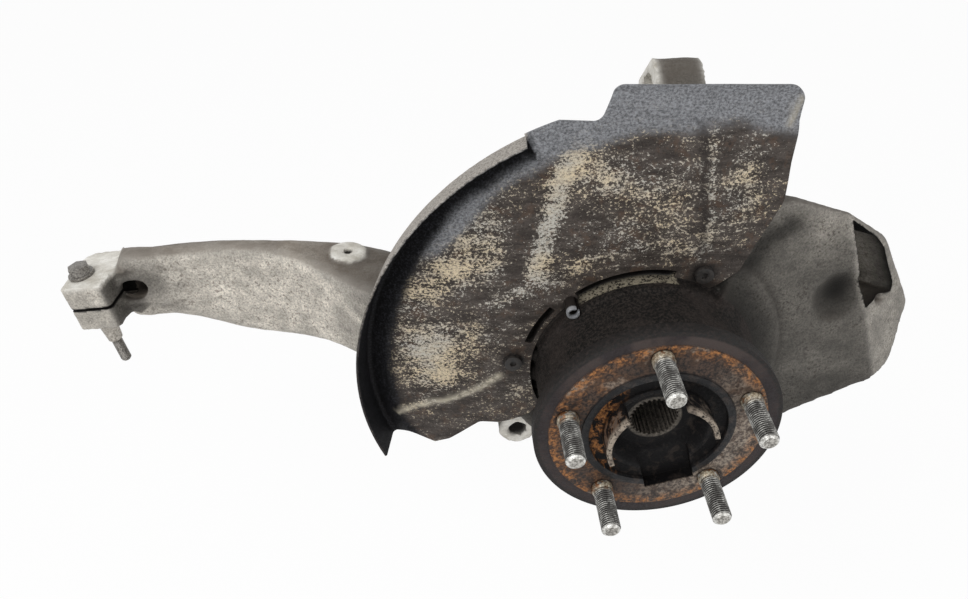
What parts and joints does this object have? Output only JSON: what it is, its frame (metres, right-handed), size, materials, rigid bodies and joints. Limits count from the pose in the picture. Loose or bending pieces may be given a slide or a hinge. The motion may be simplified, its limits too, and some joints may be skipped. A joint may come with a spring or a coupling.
{
  "type": "steering knuckle",
  "caption": "Cast aluminium steering knuckle with gooseneck arm, studded wheel hub on a double-row bearing, and a brake dust shield.",
  "frame": {"origin": "where the hub's axis meets the wheel's mounting face", "axes": "-Y outboard along the hub's axis, -X up the gooseneck arm to the upper ball joint's clamp, +Z towards the steering arm's eye"},
  "size_m": [0.5937, 0.2374, 0.2834],
  "materials": {
    "hub_steel": "forged steel, rusted all over, brightest orange on the wheel face",
    "stud_steel": "zinc-plated steel, dulled, with rust at the roots",
    "bearing_steel": "ground bearing steel",
    "ball_steel": "polished bearing steel",
    "cage_plastic": "glass-filled nylon",
    "seal_rubber": "black nitrile rubber",
    "slinger_steel": "pressed stainless steel",
    "encoder_rubber": "magnetised rubber on a steel ring",
    "circlip_steel": "phosphated spring steel",
    "cast_aluminium": "cast aluminium, dirty and dull, darker near the hub",
    "bolt_steel": "zinc-flake steel, dulled",
    "insert_steel": "plated steel",
    "shield_steel": "pressed steel with old dark coating, chalky speckle and rust",
    "screw_steel": "rusty steel",
    "pin_steel": "spring steel, lightly rusted"
  },
  "bodies": {
    "knuckle": {"knuckle_casting": "cast_aluminium", "dust_shield": "shield_steel", "shield_screws": "screw_steel", "shield_pin": "pin_steel", "pinch_bolt": "bolt_steel", "pinch_bolt_insert": "insert_steel", "bearing_outer_ring": "bearing_steel", "bearing_seal_outboard": "seal_rubber", "bearing_seal_inboard": "seal_rubber", "bearing_circlip": "circlip_steel"},
    "hub": {"wheel_hub": "hub_steel", "wheel_studs": "stud_steel", "bearing_inner_ring_outboard": "bearing_steel", "bearing_inner_ring_inboard": "bearing_steel", "bearing_slinger": "slinger_steel", "speed_encoder_ring": "encoder_rubber"},
    "ball_cages": {"ball_row_outboard": "ball_steel", "ball_row_inboard": "ball_steel", "ball_cage_outboard": "cage_plastic", "ball_cage_inboard": "cage_plastic"}
  },
  "joints": [
    {"name": "hub_spin", "type": "hinge", "parent": "knuckle", "child": "hub", "pos_m": [0, 0, 0], "axis": [0, 1, 0], "continuous": true},
    {"name": "cage_spin", "type": "hinge", "parent": "knuckle", "child": "ball_cages", "pos_m": [0, 0.045, 0], "axis": [0, 1, 0], "continuous": true}
  ],
  "couplings": [
    {"joint": "cage_spin", "follows": "hub_spin", "ratio": 0.40155}
  ]
}
